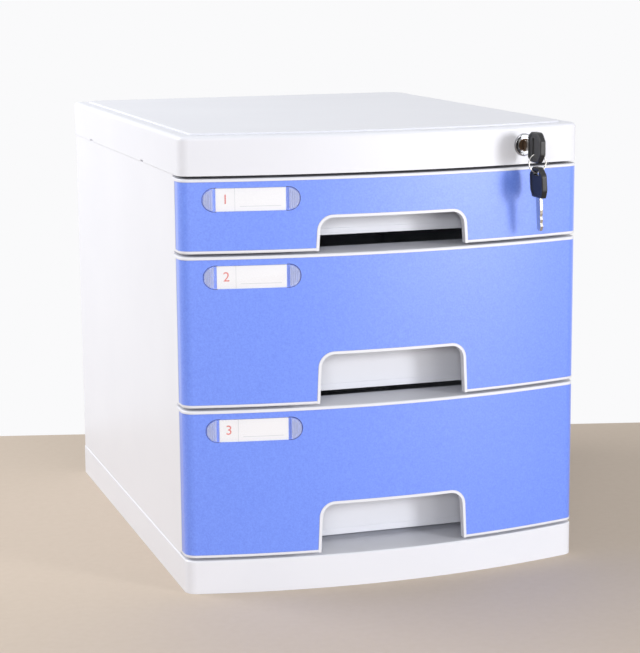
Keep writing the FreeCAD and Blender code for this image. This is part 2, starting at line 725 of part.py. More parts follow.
def make_front_panel(drawer, level, height, grip):
    """Coloured skin that lies in the recess and wraps round both corners."""
    body = new_body(f"{drawer}_front_panel", level)
    margin = "(rim_width + fit_gap)"
    band = new_sketch(body, "band", "XY_Plane", margin)
    bowed_strip(band, "(panel_recess - panel_thickness - fit_gap)", "(panel_recess - fit_gap)",
                setback("(wrap_setback - fit_gap)"))
    pad(body, band, f"{height} - 2 * {margin}")
    notch = new_sketch(body, "notch", "XZ_Plane")
    grip_outline(notch, grip, "(grip_rim + fit_gap)")
    pocket(body, notch)
    window = new_sketch(body, "window", "XZ_Plane")
    pill(window, f"-{LABEL_X}", f"({height} - label_drop)", "label_length", "label_height")
    pocket(body, window)
    return body


def make_label_window(drawer, level, height):
    """Clear pill-shaped lens over the card."""
    body = new_body(f"{drawer}_label_window", level)
    block = new_sketch(body, "block", "XZ_Plane", f"-{FRONT}")
    pill(block, f"-{LABEL_X}", f"({height} - label_drop)",
         "(label_length - 2 * fit_gap)", "(label_height - 2 * fit_gap)")
    pad(body, block, "3 * corner_radius", reverse=True)
    reach = "(label_length / 2 + cut_overrun)"
    behind = "(window_thickness - window_proud)"
    for part, outer, inner in (("front", "(-4 * corner_radius)", "(-window_proud)"),
                               ("back", behind, f"({behind} + 4 * corner_radius)")):
        trim = new_sketch(body, part, "XY_Plane")
        bow_sector(trim, outer, inner, f"(-{LABEL_X} - {reach})", f"(-{LABEL_X} + {reach})")
        pocket(body, trim)
    face = value(BOW_CENTRE), value(f"{BOW_RADIUS} + window_proud")
    round_edges(body, "edge", "window_edge_chamfer", lambda edge: all(
        same(math.hypot(v.X, v.Y - face[0]), face[1]) for v in edge.Vertexes), "Chamfer")
    return body


def make_label_card(drawer, level, height):
    body = new_body(f"{drawer}_label_card", level)
    low = f"({height} - label_drop - label_height / 2 + 2 * fit_gap)"
    plan = new_sketch(body, "plan", "XY_Plane", low)
    back = "(window_thickness - window_proud + card_gap)"
    bow_sector(plan, back, f"({back} + card_thickness)",
               f"(-{LABEL_X} - card_width / 2)", f"(-{LABEL_X} + card_width / 2)")
    pad(body, plan, "label_height - 4 * fit_gap")
    return body


def make_tray(drawer, level, height, lift):
    """Open drawer box with hanging flanges, stops and the lug that the lock bar catches."""
    body = new_body(f"{drawer}_tray", level)
    half, front = TRAY_HALF, setback("tray_setback")
    rear = setback(f"(tray_setback + {TRAY_LENGTH})")
    rim = f"({height} - tray_rim_drop)"
    plan = new_sketch(body, "plan", "XY_Plane", lift)
    rectangle(plan, f"-{half}", half, front, rear, "tray_corner")
    pad(body, plan, f"{rim} - {lift}")
    hollow = new_sketch(body, "hollow", "XY_Plane", f"{lift} + tray_floor")
    rectangle(hollow, f"-({half} - tray_wall)", f"({half} - tray_wall)", f"{front} + tray_wall",
              f"{rear} - tray_wall", "tray_corner - tray_wall")
    pocket(body, hollow, height, reverse=True)
    foot = new_sketch(body, "foot", "XY_Plane", lift)
    rectangle(foot, f"-{half} - cut_overrun", f"{half} + cut_overrun", f"{front} - cut_overrun",
              f"{front} + foot_step")
    pocket(body, foot, "foot_height", reverse=True)
    start, stop = setback("runner_setback"), f"({rear} - tray_corner)"
    flanges = new_sketch(body, "flanges", "XY_Plane", f"{rim} - flange_thickness")
    stops = new_sketch(body, "stops", "XY_Plane", f"{rim} - flange_thickness / 2")
    for sign in ("-", ""):
        inner, outer = f"{sign}({half} - tray_wall / 2)", f"{sign}({half} + flange_width)"
        rectangle(flanges, inner, outer, start, stop)
        rectangle(stops, f"{sign}({half} + side_gap + slide_gap)", outer, f"{stop} - stop_length", stop)
    pad(body, flanges, "flange_thickness")
    pad(body, stops, "flange_thickness / 2 + stop_height")
    lug = new_sketch(body, "lug", "XY_Plane", f"{rim} - lug_drop - lug_height / 2")
    near = setback("lug_setback")
    rectangle(lug, f"{half} - tray_wall / 2", f"{half} + lug_reach", near, f"{near} + lug_depth")
    pad(body, lug, "lug_height")
    holes = new_sketch(body, "holes", "XZ_Plane", f"-({front} - cut_overrun)")
    for x, z in boss_places(height):
        circle(holes, x, z, "screw_radius + fit_gap")
    pocket(body, holes, "tray_wall + 2 * cut_overrun")
    return body


def along_y(name, radius, length, x, y, z):
    """A cylinder whose axis runs from y towards +Y."""
    rod = doc.addObject("Part::Cylinder", name)
    rod.Placement = FreeCAD.Placement(FreeCAD.Vector(), FreeCAD.Rotation(FreeCAD.Vector(1, 0, 0), -90))
    bind(rod, "Radius", radius)
    bind(rod, "Height", length)
    for axis, formula in zip("xyz", (x, y, z)):
        bind(rod, f"Placement.Base.{axis}", formula)
    return rod


def make_front_screws(drawer, level, height):
    """Four pan-head screws, driven from inside the tray."""
    group = doc.addObject("Part::Compound", f"{drawer}_front_screws")
    group.Label = group.Name
    wall_inside = setback("(tray_setback + tray_wall)")
    screws = []
    for i, (x, z) in enumerate(boss_places(height)):
        name = f"{drawer}_screw_{i}"
        head = along_y(name + "_head", "screw_head_radius", "screw_head_height", x, wall_inside,
                       f"{level} + {z}")
        overlap = "screw_head_height / 2"
        shank = along_y(name + "_shank", "screw_radius", f"screw_length + {overlap}", x,
                        f"{wall_inside} - screw_length", f"{level} + {z}")
        screw = doc.addObject("Part::Fuse", name)
        screw.Base, screw.Tool = head, shank
        screws.append(screw)
    group.Links = screws
    nodes.append(group)
    return group


def make_lock():
    """Cam lock: chromed housing and nut in the cover, turning plug with cam, pin and screw."""
    x, z = LOCK_X, LOCK_LEVEL
    seat = setback("lock_seat_setback")
    face = "(-lock_flange_thickness)"
    bore = "(plug_radius + fit_gap)"
    housing = new_body("lock_body", z, x, seat)
    turned(housing, "profile", [
        (face, bore), (face, "lock_flange_radius - lock_flange_bevel"),
        (f"{face} + lock_flange_bevel", "lock_flange_radius"), ("0", "lock_flange_radius"),
        ("0", "barrel_radius"), ("barrel_length", "barrel_radius"), ("barrel_length", bore)])
    nut = new_body("lock_nut", z, x, setback("lock_boss_setback"))
    hexagon = new_sketch(nut, "hexagon", "XZ_Plane")
    polygon(hexagon, [(f"nut_radius * cos({60 * k})", f"nut_radius * sin({60 * k})") if k % 3 else
                      (f"nut_radius * cos({60 * k})", "0") for k in range(6)])
    circle(hexagon, "0", "0", "barrel_radius + fit_gap")
    pad(nut, hexagon, "nut_thickness", reverse=True)
    plug = new_body("lock_plug", z, x, seat)
    tail = "(barrel_length + plug_tail)"
    turned(plug, "profile", [
        (f"{face} + plug_dish", "0"), (f"{face} + plug_dish", "plug_radius"),
        (tail, "plug_radius"), (tail, "0")])
    keyway = new_sketch(plug, "keyway", "XZ_Plane", f"-({face} - cut_overrun)")
    rectangle(keyway, "-keyway_width / 2", "keyway_width / 2", "-keyway_height / 2", "keyway_height / 2")
    pocket(plug, keyway, "keyway_depth + cut_overrun")
    thread = new_sketch(plug, "thread", "XZ_Plane", f"-({tail} + cut_overrun)")
    circle(thread, "0", "0", "cam_screw_radius + fit_gap")
    pocket(plug, thread, "cam_screw_length - cam_thickness + cut_overrun", reverse=True)
    cam = new_body("lock_cam", z, x, f"{seat} + {tail}")
    throw_x, throw_z = "cam_throw * cos(cam_rest_angle)", "cam_throw * sin(cam_rest_angle)"
    for part, cx, cz, radius, length in (
            ("hub", "0", "0", "cam_hub_radius", "cam_thickness"),
            ("tip", throw_x, throw_z, "cam_pin_radius + cam_thickness / 2", "cam_thickness"),
            ("pin", throw_x, throw_z, "cam_pin_radius", "cam_thickness + cam_pin_length")):
        disc = new_sketch(cam, part, "XZ_Plane")
        circle(disc, cx, cz, radius)
        pad(cam, disc, length, reverse=True)
    hole = new_sketch(cam, "hole", "XZ_Plane", "cut_overrun")
    circle(hole, "0", "0", "cam_screw_radius + fit_gap")
    pocket(cam, hole, "cam_thickness + 2 * cut_overrun")
    screw = new_body("cam_screw", z, x, f"{seat} + {tail} + cam_thickness")
    turned(screw, "profile", [
        ("cam_screw_head_height", "0"), ("cam_screw_head_height", "cam_screw_head_radius"),
        ("0", "cam_screw_head_radius"), ("0", "cam_screw_radius"),
        ("-cam_screw_length", "cam_screw_radius"), ("-cam_screw_length", "0")])


def make_lock_bar():
    """Flat bar that the cam raises and lowers; its teeth close behind each drawer's lug."""
    body = new_body("lock_bar")
    outer = f"({SIDE_INNER} - bar_edge_gap)"
    inner, spine = f"({outer} - bar_width)", f"({outer} - bar_spine)"
    pin_z = f"({LOCK_LEVEL} + cam_throw * sin(cam_rest_angle))"
    top, under = f"({pin_z} + bar_arm_height / 2)", f"({pin_z} - bar_arm_height / 2)"
    slot_left = f"({LOCK_X} + cam_throw * cos(cam_rest_angle) - cam_pin_radius - bar_slot_end_gap)"
    left = f"({slot_left} - bar_arm_height / 4)"
    lug = {d: f"({level} + {height} - tray_rim_drop - lug_drop)"
           for d, (level, height, *_) in DRAWERS.items()}
    outline = [(outer, f"{lug['bottom']} - bar_tail", "bar_corner"), (outer, top, "bar_corner"),
               (left, top, "bar_corner"), (left, under, "bar_corner"), (inner, under)]
    for drawer in ("top", "middle", "bottom"):
        high, low = (f"{lug[drawer]} {side} bar_notch_height / 2" for side in "+-")
        outline += [(inner, high), (spine, high), (spine, low), (inner, low)]
    outline += [(inner, f"{lug['bottom']} - bar_tail", "bar_corner")]
    sketch = new_sketch(body, "outline", "XZ_Plane", f"-{setback('bar_setback')}")
    polygon(sketch, outline)
    pad(body, sketch, "bar_thickness", reverse=True)
    slot = new_sketch(body, "slot", "XZ_Plane", f"-{setback('bar_setback')}")
    slot_right = f"({LOCK_X} + cam_throw + cam_pin_radius + bar_slot_end_gap)"
    high, low = (f"{pin_z} {side} (cam_pin_radius + bar_slot_gap)" for side in "+-")
    rectangle(slot, slot_left, slot_right, low, high, "bar_corner")
    pocket(body, slot)
    return body


def key_body(name, spare):
    body = new_body(name)
    if not spare:
        bind(body, "Placement.Base.x", LOCK_X)
        bind(body, "Placement.Base.y", f"{LOCK_FACE} - key_stand_off")
        bind(body, "Placement.Base.z", LOCK_LEVEL)
        return body
    # the spare hangs with its blade down, so its own Y axis points to the desk
    down = FreeCAD.Rotation(FreeCAD.Vector(1, 0, 0), -90)
    tilt = FreeCAD.Rotation(FreeCAD.Vector(0, 1, 0), -value("spare_tilt"))
    body.Placement = FreeCAD.Placement(FreeCAD.Vector(), tilt.multiply(down))
    drop = "(key_head_length - spare_slot_web)"
    bind(body, "Placement.Base.x", f"{LOCK_X} + spare_shift + {drop} * sin(spare_tilt)")
    bind(body, "Placement.Base.y", RING_Y)
    bind(body, "Placement.Base.z", f"{SPARE_HOOK} - {drop}")
    return body


RING_Y = f"({LOCK_FACE} - key_stand_off - key_slot_setback)"
WEB_HALF = "(key_head_thickness / 2 - key_head_sink)"
RING_LEVEL = (
    f"({LOCK_LEVEL} - key_slot_length / 2 + ring_wire_radius + fit_gap"
    f" - sqrt(ring_radius^2 - (ring_shift + {WEB_HALF})^2))")
SPARE_HOOK = (
    f"({RING_LEVEL} - sqrt(ring_radius^2 - (spare_shift - ring_shift + {WEB_HALF})^2)"
    " + ring_wire_radius + fit_gap)")


def head_outline(sketch, inset):
    """The head's rounded barrel shape, narrower at its free end."""
    neck, half = f"(key_head_neck / 2 - {inset})", f"(key_head_height / 2 - {inset})"
    crown, end = f"(key_head_crown / 2 - {inset} / 2)", f"({inset} - key_head_length)"
    shoulder = f"(-key_head_shoulder - {inset} / 2)"
    ridge = f"(key_head_shoulder + {inset} / 2 - key_head_length)"
    corner = f"(key_head_corner - {inset})"
    upper = [(f"-{inset}", neck), (shoulder, half, corner), (ridge, half, corner), (end, crown, f"{corner} / 2")]
    lower = [(y, f"-{z}", *rest) for y, z, *rest in reversed(upper)]
    polygon(sketch, upper + lower)


def make_key(prefix, spare):
    """A key in its own frame: the blade runs to +Y from the origin, the head to -Y."""
    head = key_body(prefix + "_head", spare)
    outline = new_sketch(head, "outline", "YZ_Plane")
    head_outline(outline, "0")
    pad(head, outline, "key_head_thickness", both=True)
    slot = new_sketch(head, "slot", "YZ_Plane")
    if spare:
        middle = "(spare_slot_web + key_slot_width / 2 - key_head_length)"
        reach = "(spare_slot_length / 2)"
    else:
        middle, reach = "(-key_slot_setback)", "(key_slot_length / 2)"
    rectangle(slot, f"{middle} - key_slot_width / 2", f"{middle} + key_slot_width / 2", f"-{reach}", reach,
              "key_slot_width / 3")
    pocket(head, slot)
    half_thickness = value("key_head_thickness / 2")
    round_edges(head, "edge", "key_head_chamfer", lambda edge: (
        same(abs(edge.BoundBox.XMin), half_thickness) and same(edge.BoundBox.XLength, 0)), "Chamfer")
    for side, offset, reverse in (
            ("right", "key_head_thickness / 2", False), ("left", "-key_head_thickness / 2", True)):
        field = new_sketch(head, side, "YZ_Plane", offset)
        head_outline(field, "key_head_border")
        pocket(head, field, "key_head_sink", reverse=reverse)
    tang = new_sketch(head, "tang", "YZ_Plane")
    reach = "(blade_height / 2 - blade_step_drop / 2 + fit_gap)"
    rectangle(tang, "-blade_tang - fit_gap", "cut_overrun", f"-{reach}", reach)
    pocket(head, tang, "blade_thickness + 2 * fit_gap", both=True)
    blade = key_body(prefix + "_blade", spare)
    profile = new_sketch(blade, "profile", "YZ_Plane")
    top, low = "(blade_height / 2)", "(-blade_height / 2)"
    inner_top, inner_low = f"{top} - blade_step_drop / 2", f"{low} + blade_step_drop / 2"
    cuts = []
    for k, share in enumerate(BIT_SHARES):
        depth = "blade_bit" if k % 2 else "blade_bit / 3"
        cuts.append((f"blade_length * {share}", f"{low} + {depth}"))
    polygon(profile, [
        ("-blade_tang", inner_top), ("-blade_tang", inner_low), ("fit_gap", inner_low), ("fit_gap", low),
        ("blade_step", low), *cuts, ("blade_length", "-blade_bit"), ("blade_length", "blade_bit"),
        ("blade_length - blade_bit", top), ("fit_gap", top), ("fit_gap", inner_top)])
    pad(blade, profile, "blade_thickness", both=True)
    return head, blade


def make_ring():
    """Wire ring round the axis that runs to +Y; the wire is eight-sided to keep its facets few."""
    ring = new_body("key_ring", RING_LEVEL, f"{LOCK_X} + ring_shift", RING_Y)
    turned(ring, "wire", [
        (f"ring_wire_radius * cos({22.5 + 45 * k})", f"ring_radius + ring_wire_radius * sin({22.5 + 45 * k})")
        for k in range(8)])


make_base()
make_side_panel("left_side_panel", "-")
make_side_panel("right_side_panel", "")
make_back_panel()
make_cover()
for drawer, (level, height, grip, lift) in DRAWERS.items():
    make_front_frame(drawer, level, height, grip)
    make_front_panel(drawer, level, height, grip)
    make_label_window(drawer, level, height)
    make_label_card(drawer, level, height)
    make_tray(drawer, level, height, lift)
    make_front_screws(drawer, level, height)
make_lock()
make_lock_bar()
make_key("key", False)
make_key("spare_key", True)
make_ring()
doc.recompute()

faults = [f"{obj.Name}: {obj.State}" for obj in doc.Objects if {"Invalid", "Error"} & set(obj.State)]
for node in nodes:
    if node.Shape.isNull() or not node.Shape.isValid():
        faults.append(f"{node.Label}: no valid shape")
if faults:
    raise RuntimeError("; ".join(faults))

os.makedirs("parts", exist_ok=True)
for node in nodes:
    node.Shape.exportStep(f"parts/{node.Label}.step")
    print(f"{node.Label}: {len(node.Shape.Solids)} solids, {node.Shape.Volume / 1000:.2f} cm3")
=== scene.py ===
import json
import math

import bpy
from mathutils import Matrix, Vector


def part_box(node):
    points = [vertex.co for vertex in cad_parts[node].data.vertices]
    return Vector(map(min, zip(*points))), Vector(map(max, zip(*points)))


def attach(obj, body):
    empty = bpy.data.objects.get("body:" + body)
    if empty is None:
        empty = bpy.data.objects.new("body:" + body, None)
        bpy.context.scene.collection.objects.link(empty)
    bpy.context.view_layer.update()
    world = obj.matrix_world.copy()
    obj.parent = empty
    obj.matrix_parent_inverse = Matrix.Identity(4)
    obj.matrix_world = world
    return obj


# Desk cabinet with three lockable drawers: white moulded ABS, blue skins on bowed fronts.
# Metres, +Z up, the drawer fronts face -Y.

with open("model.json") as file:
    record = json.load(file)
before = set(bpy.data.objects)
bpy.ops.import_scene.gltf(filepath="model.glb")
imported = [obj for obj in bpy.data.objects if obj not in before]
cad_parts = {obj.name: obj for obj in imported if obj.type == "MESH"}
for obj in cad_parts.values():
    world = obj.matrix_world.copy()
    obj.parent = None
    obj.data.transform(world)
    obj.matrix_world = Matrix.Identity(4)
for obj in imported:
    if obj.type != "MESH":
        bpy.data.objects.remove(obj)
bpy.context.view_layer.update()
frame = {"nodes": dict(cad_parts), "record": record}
nodes = frame["nodes"]
mm = 0.001
drawers = ("top", "middle", "bottom")


def linear(hexCode):
    # an sRGB hex colour as the linear one that a socket takes
    channels = [int(hexCode[i:i + 2], 16) / 255 for i in (1, 3, 5)]
    return [c / 12.92 if c <= 0.04045 else ((c + 0.055) / 1.055) ** 2.4 for c in channels] + [1.0]


def perMetre(sizeMm):
    # texture scale of a pattern from its size in millimetres
    return 1 / (sizeMm * mm)


def addNode(tree, kind, settings, links=None):
    # a setting is a property of the node or the value of an input; a link feeds an input
    node = tree.nodes.new(kind)
    for key, value in settings.items():
        if isinstance(key, str) and hasattr(node, key):
            setattr(node, key, value)
        else:
            node.inputs[key].default_value = value
    for key, output in (links or {}).items():
        tree.links.new(output, node.inputs[key])
    return node


def newMaterial(name):
    # an empty material, its tree, and the place on the piece that its patterns follow
    material = bpy.data.materials.new(name)
    material.use_nodes = True
    tree = material.node_tree
    tree.nodes.clear()
    return material, tree, addNode(tree, "ShaderNodeTexCoord", {}).outputs["Object"]


def showSurface(tree, shader):
    addNode(tree, "ShaderNodeOutputMaterial", {}, {"Surface": shader})


# Moulded ABS, spark-eroded tool: an even, slightly cool white with a soft sheen. The tone drifts a
# little where the melt cooled slowly. The real grain is 0.1 mm; it is drawn coarser so that it shows.
whiteAbs = {
    "tone": "#E6E8F0", "slowTone": "#DFE1EA", "driftMm": 85,
    "grainMm": 0.8, "grainDepthMm": 0.006, "roughLow": 0.30, "roughHigh": 0.42,
    "edgeMm": 0.4, "ior": 1.53,
}


def makeWhiteAbs(look):
    material, tree, place = newMaterial("mouldedWhiteAbs")
    drift = addNode(tree, "ShaderNodeTexNoise", {"Scale": perMetre(look["driftMm"]), "Detail": 2.0},
                    {"Vector": place})
    tone = addNode(tree, "ShaderNodeMix", {
        "data_type": "RGBA", 6: linear(look["tone"]), 7: linear(look["slowTone"])},
        {0: drift.outputs["Fac"]})
    grain = addNode(tree, "ShaderNodeTexNoise", {"Scale": perMetre(look["grainMm"]), "Detail": 3.0},
                    {"Vector": place})
    gloss = addNode(tree, "ShaderNodeMapRange", {"To Min": look["roughLow"], "To Max": look["roughHigh"]},
                    {"Value": grain.outputs["Fac"]})
    edge = addNode(tree, "ShaderNodeBevel", {"samples": 6, "Radius": look["edgeMm"] * mm})
    bump = addNode(tree, "ShaderNodeBump", {"Strength": 0.5, "Distance": look["grainDepthMm"] * mm},
                   {"Height": grain.outputs["Fac"], "Normal": edge.outputs["Normal"]})
    shader = addNode(tree, "ShaderNodeBsdfPrincipled", {"IOR": look["ior"]}, {
        "Base Color": tone.outputs[2], "Roughness": gloss.outputs["Result"],
        "Normal": bump.outputs["Normal"]})
    showSurface(tree, shader.outputs["BSDF"])
    return material


# Moulded ABS in cornflower blue with a leather-fine orange peel. Its resin-rich skin, drawn as a clear
# coat, spreads the lamp into a wide pale glare, and the peel leaves a faint speckle that fades in slow
# patches. The real cells are 0.4 mm; they are drawn at about three times that so that they show.
blueAbs = {
    "tone": "#7195FA", "deepTone": "#5F81EE", "driftMm": 60,
    "peelMm": 1.1, "peelDepthMm": 0.09, "speckleMm": 1.4, "roughLow": 0.28, "roughHigh": 0.43,
    "coatRough": 0.36, "edgeMm": 0.25, "ior": 1.53,
}
# The same plastic with painted shade, made dark for the narrow joint round the window, where little light
# reaches it.
paintedShadowBlueAbs = {**blueAbs, "tone": "#1F2F78", "deepTone": "#1A2868"}


def makeBlueAbs(look):
    material, tree, place = newMaterial("mouldedBlueAbs")
    drift = addNode(tree, "ShaderNodeTexNoise", {"Scale": perMetre(look["driftMm"]), "Detail": 2.0},
                    {"Vector": place})
    speckle = addNode(tree, "ShaderNodeTexNoise", {
        "Scale": perMetre(look["speckleMm"]), "Detail": 4.0, "Roughness": 0.7}, {"Vector": place})
    # the noise keeps near its middle, so it is spread; in slow patches it is up to 30 percent weaker
    spread = addNode(tree, "ShaderNodeMapRange", {"From Min": 0.35, "From Max": 0.65},
                     {"Value": speckle.outputs["Fac"]})
    slow = addNode(tree, "ShaderNodeMapRange", {"To Min": 0.7, "To Max": 1.0},
                   {"Value": drift.outputs["Fac"]})
    amount = addNode(tree, "ShaderNodeMath", {"operation": "MULTIPLY"},
                     {0: slow.outputs["Result"], 1: spread.outputs["Result"]})
    tone = addNode(tree, "ShaderNodeMix", {
        "data_type": "RGBA", 6: linear(look["tone"]), 7: linear(look["deepTone"])},
        {0: amount.outputs["Value"]})
    peel = addNode(tree, "ShaderNodeTexVoronoi", {
        "feature": "SMOOTH_F1", "Scale": perMetre(look["peelMm"])}, {"Vector": place})
    gloss = addNode(tree, "ShaderNodeMapRange", {"To Min": look["roughLow"], "To Max": look["roughHigh"]},
                    {"Value": speckle.outputs["Fac"]})
    edge = addNode(tree, "ShaderNodeBevel", {"samples": 6, "Radius": look["edgeMm"] * mm})
    bump = addNode(tree, "ShaderNodeBump", {"Strength": 0.6, "Distance": look["peelDepthMm"] * mm},
                   {"Height": peel.outputs["Distance"], "Normal": edge.outputs["Normal"]})
    shader = addNode(tree, "ShaderNodeBsdfPrincipled", {
        "IOR": look["ior"], "Coat Weight": 1.0, "Coat Roughness": look["coatRough"]}, {
        "Base Color": tone.outputs[2], "Roughness": gloss.outputs["Result"],
        "Normal": bump.outputs["Normal"]})
    showSurface(tree, shader.outputs["BSDF"])
    return material


# Clear polystyrene, polished tool: water-clear with sharp reflections and a few hair scratches. Light
# for the card behind it passes straight through, so that the card isn't left in a false shadow.
clearStyrene = {
    "tint": "#FFFFFF", "roughness": 0.03, "ior": 1.49, "scratchMm": 7, "scratchDepthMm": 0.004,
}


def makeClearStyrene(look):
    material, tree, place = newMaterial("polishedClearPolystyrene")
    scratch = addNode(tree, "ShaderNodeTexNoise", {
        "Scale": perMetre(look["scratchMm"]), "Detail": 6.0, "Distortion": 2.0}, {"Vector": place})
    bump = addNode(tree, "ShaderNodeBump", {"Strength": 0.3, "Distance": look["scratchDepthMm"] * mm},
                   {"Height": scratch.outputs["Fac"]})
    lens = addNode(tree, "ShaderNodeBsdfPrincipled", {
        "Base Color": linear(look["tint"]), "Roughness": look["roughness"], "IOR": look["ior"],
        "Transmission Weight": 1.0}, {"Normal": bump.outputs["Normal"]})
    through = addNode(tree, "ShaderNodeBsdfTransparent", {"Color": linear(look["tint"])})
    path = addNode(tree, "ShaderNodeLightPath", {})
    soft = addNode(tree, "ShaderNodeMath", {"operation": "MAXIMUM"},
                   {0: path.outputs["Is Shadow Ray"], 1: path.outputs["Is Diffuse Ray"]})
    mix = addNode(tree, "ShaderNodeMixShader", {}, {
        0: soft.outputs["Value"], 1: lens.outputs["BSDF"], 2: through.outputs["BSDF"]})
    showSurface(tree, mix.outputs["Shader"])
    return material


# The same polystyrene where the tool is matt: a milky skin that half hides what lies behind it. The
# real grain is 0.1 mm; it is drawn coarser so that it shows.
frostedStyrene = {
    "tone": "#CFD8FA", "cover": 0.38, "coverSpread": 0.08, "roughness": 0.32, "ior": 1.49,
    "grainMm": 0.9,
}


def makeFrostedStyrene(look):
    material, tree, place = newMaterial("mattClearPolystyrene")
    grain = addNode(tree, "ShaderNodeTexNoise", {"Scale": perMetre(look["grainMm"]), "Detail": 3.0},
                    {"Vector": place})
    cover = addNode(tree, "ShaderNodeMapRange", {
        "To Min": look["cover"] - look["coverSpread"], "To Max": look["cover"] + look["coverSpread"]},
        {"Value": grain.outputs["Fac"]})
    skin = addNode(tree, "ShaderNodeBsdfPrincipled", {
        "Base Color": linear(look["tone"]), "Roughness": look["roughness"], "IOR": look["ior"]})
    through = addNode(tree, "ShaderNodeBsdfTransparent", {})
    mix = addNode(tree, "ShaderNodeMixShader", {}, {
        0: cover.outputs["Result"], 1: through.outputs["BSDF"], 2: skin.outputs["BSDF"]})
    showSurface(tree, mix.outputs["Shader"])
    return material


# Uncoated card, 250 g: a matt bright white with a faint fibre mottle.
whiteCard = {"tone": "#F0F1F6", "fibreTone": "#E8E9EF", "fibreMm": 1.2, "roughness": 0.85}


def makeWhiteCard(look):
    material, tree, place = newMaterial("uncoatedCard")
    fibre = addNode(tree, "ShaderNodeTexNoise", {"Scale": perMetre(look["fibreMm"]), "Detail": 5.0},
                    {"Vector": place})
    tone = addNode(tree, "ShaderNodeMix", {
        "data_type": "RGBA", 6: linear(look["tone"]), 7: linear(look["fibreTone"])},
        {0: fibre.outputs["Fac"]})
    shader = addNode(tree, "ShaderNodeBsdfPrincipled", {"Roughness": look["roughness"]},
                     {"Base Color": tone.outputs[2]})
    showSurface(tree, shader.outputs["BSDF"])
    return material


# Offset print on card: flat ink that lets a little of the card show through in specks. Real specks
# are finer than 0.1 mm; they are drawn coarser so that they show.
inks = {"rule": "#BFC6CC", "number": "#D4524A", "speckMm": 0.5, "showThrough": 0.25, "roughness": 0.6}


def makeInk(name, tone, look):
    material, tree, place = newMaterial(name)
    specks = addNode(tree, "ShaderNodeTexNoise", {"Scale": perMetre(look["speckMm"]), "Detail": 3.0},
                     {"Vector": place})
    bare = addNode(tree, "ShaderNodeMapRange", {"To Min": 0.0, "To Max": look["showThrough"]},
                   {"Value": specks.outputs["Fac"]})
    printed = addNode(tree, "ShaderNodeMix", {
        "data_type": "RGBA", 6: linear(tone), 7: linear(whiteCard["tone"])},
        {0: bare.outputs["Result"]})
    shader = addNode(tree, "ShaderNodeBsdfPrincipled", {"Roughness": look["roughness"]},
                     {"Base Color": printed.outputs[2]})
    showSurface(tree, shader.outputs["BSDF"])
    return material


# The metals share one graph: a plated, cast or drawn surface with a fine lay, set by its own values.
# A real lay is finer than 0.1 mm; it is drawn coarser so that it shows.
metals = {
    # bright chrome plate on brass: a mirror with a cold tone
    "chromePlatedBrass": {
        "slot": "chrome", "tone": "#B4B5B9", "roughLow": 0.08, "roughHigh": 0.16,
        "layMm": 2.0, "depthMm": 0.001},
    # cast brass, darkened in a bath: a dull brown black
    "darkenedBrass": {
        "slot": "dark_brass", "tone": "#43352A", "roughLow": 0.28, "roughHigh": 0.45,
        "layMm": 0.7, "depthMm": 0.01},
    # zinc plate on pressed steel: a bluish grey with a satin bloom
    "zincPlatedSteel": {
        "slot": "zinc_steel", "tone": "#B9BDC2", "roughLow": 0.30, "roughHigh": 0.46,
        "layMm": 1.5, "depthMm": 0.01},
    # nickel plate on milled brass: bright, faintly warm, a little uneven from the cutter
    "nickelPlatedBrass": {
        "slot": "nickel_brass", "tone": "#D9D6CF", "roughLow": 0.16, "roughHigh": 0.28,
        "layMm": 0.6, "depthMm": 0.005},
    # spring steel wire, drawn bright: a clean grey that flashes along its length
    "drawnSpringWire": {
        "slot": "spring_steel", "tone": "#D2D0CC", "roughLow": 0.12, "roughHigh": 0.22,
        "layMm": 0.5, "depthMm": 0.004},
}
metalEdgeMm = 0.15  # all have their edges broken alike


def makeMetal(name, look):
    material, tree, place = newMaterial(name)
    lay = addNode(tree, "ShaderNodeTexNoise", {"Scale": perMetre(look["layMm"]), "Detail": 4.0},
                  {"Vector": place})
    gloss = addNode(tree, "ShaderNodeMapRange", {"To Min": look["roughLow"], "To Max": look["roughHigh"]},
                    {"Value": lay.outputs["Fac"]})
    edge = addNode(tree, "ShaderNodeBevel", {"samples": 4, "Radius": metalEdgeMm * mm})
    bump = addNode(tree, "ShaderNodeBump", {"Strength": 0.4, "Distance": look["depthMm"] * mm},
                   {"Height": lay.outputs["Fac"], "Normal": edge.outputs["Normal"]})
    shader = addNode(tree, "ShaderNodeBsdfPrincipled", {
        "Base Color": linear(look["tone"]), "Metallic": 1.0}, {
        "Roughness": gloss.outputs["Result"], "Normal": bump.outputs["Normal"]})
    showSurface(tree, shader.outputs["BSDF"])
    return material


# Black nylon, moulded over the key: near black with a soft satin sheen that greys on the lit side.
# Its fine grain is drawn coarser so that it shows.
blackNylon = {
    "tone": "#0E0F12", "wornTone": "#17181D", "grainMm": 0.6, "grainDepthMm": 0.02,
    "roughLow": 0.34, "roughHigh": 0.5, "edgeMm": 0.4, "ior": 1.53,
}


